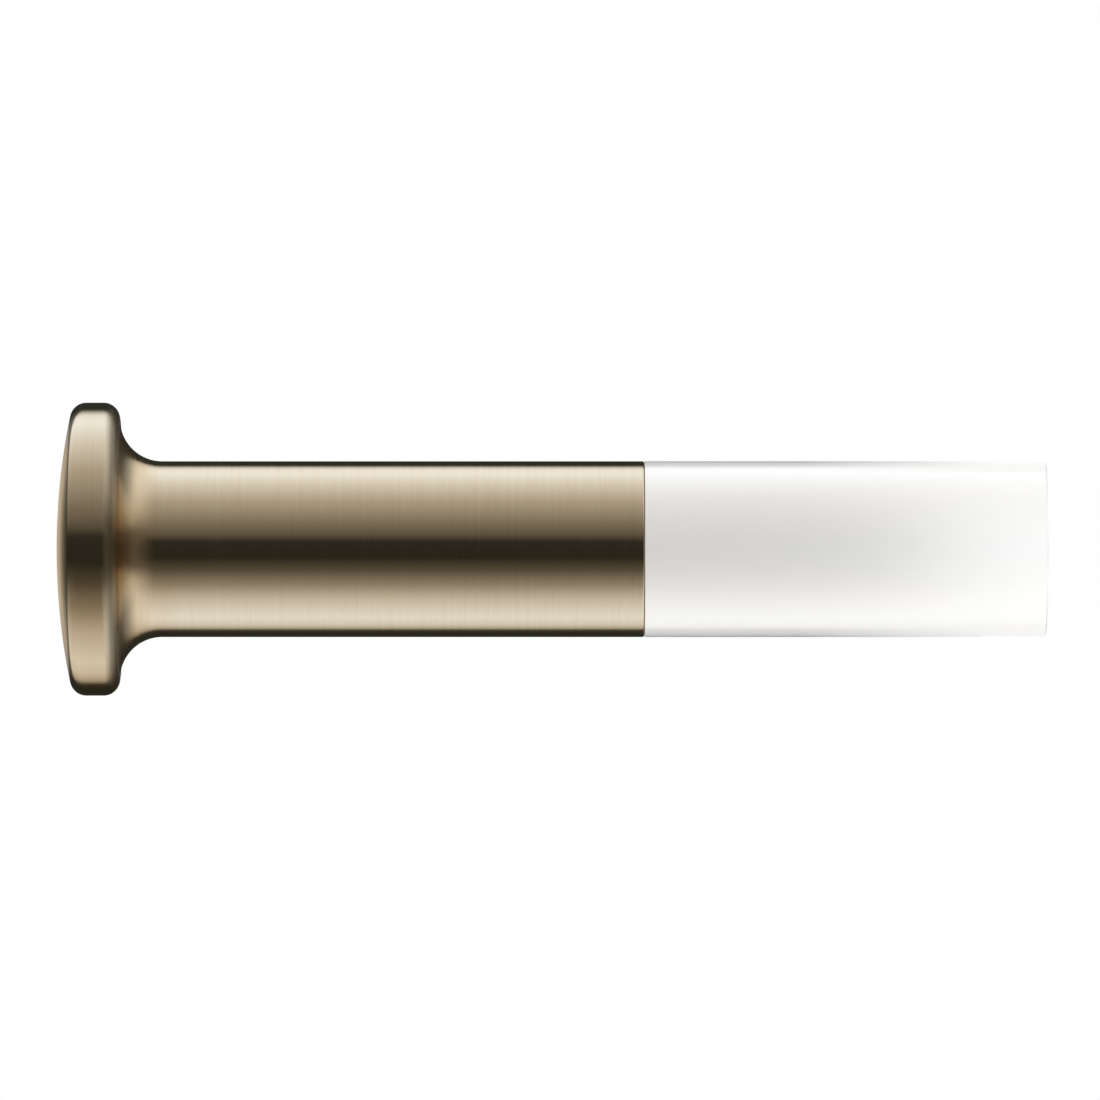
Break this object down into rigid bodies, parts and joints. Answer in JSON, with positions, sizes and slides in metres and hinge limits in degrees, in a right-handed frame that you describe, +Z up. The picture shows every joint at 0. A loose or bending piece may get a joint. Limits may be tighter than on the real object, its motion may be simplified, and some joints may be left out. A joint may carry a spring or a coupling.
{
  "type": "towel holder",
  "caption": "Single-arm wall towel holder: round bar with a domed, flared disc at its free end, a white sleeve towards the wall and a concealed fixing.",
  "frame": {"origin": "centre of the wall screw hole, in the plane of the wall", "axes": "+X along the bar into the wall, so that the free end points along -X, and +Z up"},
  "size_m": [0.135, 0.04, 0.04],
  "materials": {
    "brushed_bronze": "satin",
    "opal_white": "satin",
    "black_nylon": "matte",
    "turned_aluminium": "satin",
    "zinc_steel": "satin"
  },
  "bodies": {
    "root": {"flared_end": "brushed_bronze", "seam_washer": "black_nylon", "bar_sleeve": "opal_white", "base_bush": "turned_aluminium", "tie_bolt": "zinc_steel", "spring_washer": "zinc_steel", "wall_spigot": "zinc_steel", "grub_screw": "zinc_steel"}
  },
  "joints": []
}
